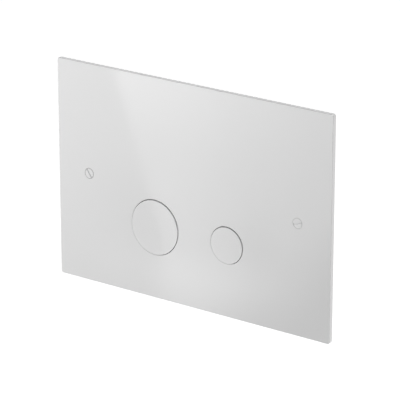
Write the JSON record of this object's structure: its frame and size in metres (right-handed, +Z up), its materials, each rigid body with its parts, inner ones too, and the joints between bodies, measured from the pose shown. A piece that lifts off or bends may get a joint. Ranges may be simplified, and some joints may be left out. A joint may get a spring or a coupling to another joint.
{
  "type": "flush button plate",
  "caption": "Flat rectangular wall plate with a large and a small round push button, on a moulded frame whose sprung plungers and push rods work a concealed cistern.",
  "frame": {"origin": "centre of the plate's outline on the wall surface, which is the rear face of the foam seal", "axes": "+X to the user's right, +Y into the wall, +Z up; the buttons face -Y"},
  "size_m": [0.23, 0.0833, 0.16],
  "materials": {
    "white_lacquer": "gloss",
    "seal_foam": "matt foam",
    "frame_plastic": "satin moulded",
    "natural_plastic": "satin moulded",
    "brass": "turned",
    "zinc_steel": "bright zinc plated",
    "spring_steel": "drawn and blackened",
    "stop_rubber": "matt"
  },
  "bodies": {
    "wall_assembly": {"face_plate": "white_lacquer", "wall_seal": "seal_foam", "mounting_frame": "frame_plastic", "screw_inserts": "brass", "face_screws": "white_lacquer", "fixing_bolts": "zinc_steel", "bolt_washers": "zinc_steel", "full_guide_bush": "natural_plastic", "half_guide_bush": "natural_plastic", "full_return_spring": "spring_steel", "half_return_spring": "spring_steel"},
    "full_button": {"full_button_cap": "white_lacquer", "full_plunger": "brass", "full_stop_washer": "stop_rubber", "full_retaining_clip": "spring_steel", "full_push_rod": "zinc_steel", "full_lock_nut": "zinc_steel", "full_rod_tip": "natural_plastic"},
    "half_button": {"half_button_cap": "white_lacquer", "half_plunger": "brass", "half_stop_washer": "stop_rubber", "half_retaining_clip": "spring_steel", "half_push_rod": "zinc_steel", "half_lock_nut": "zinc_steel", "half_rod_tip": "natural_plastic"}
  },
  "joints": [
    {"name": "full_flush_press", "type": "slide", "parent": "wall_assembly", "child": "full_button", "axis": [0, 1, 0], "range_m": [0, 0.007], "stiffness_N_per_m": 1000, "springref_m": -0.005, "deforming": ["full_return_spring"]},
    {"name": "half_flush_press", "type": "slide", "parent": "wall_assembly", "child": "half_button", "axis": [0, 1, 0], "range_m": [0, 0.007], "stiffness_N_per_m": 1000, "springref_m": -0.005, "deforming": ["half_return_spring"]}
  ]
}
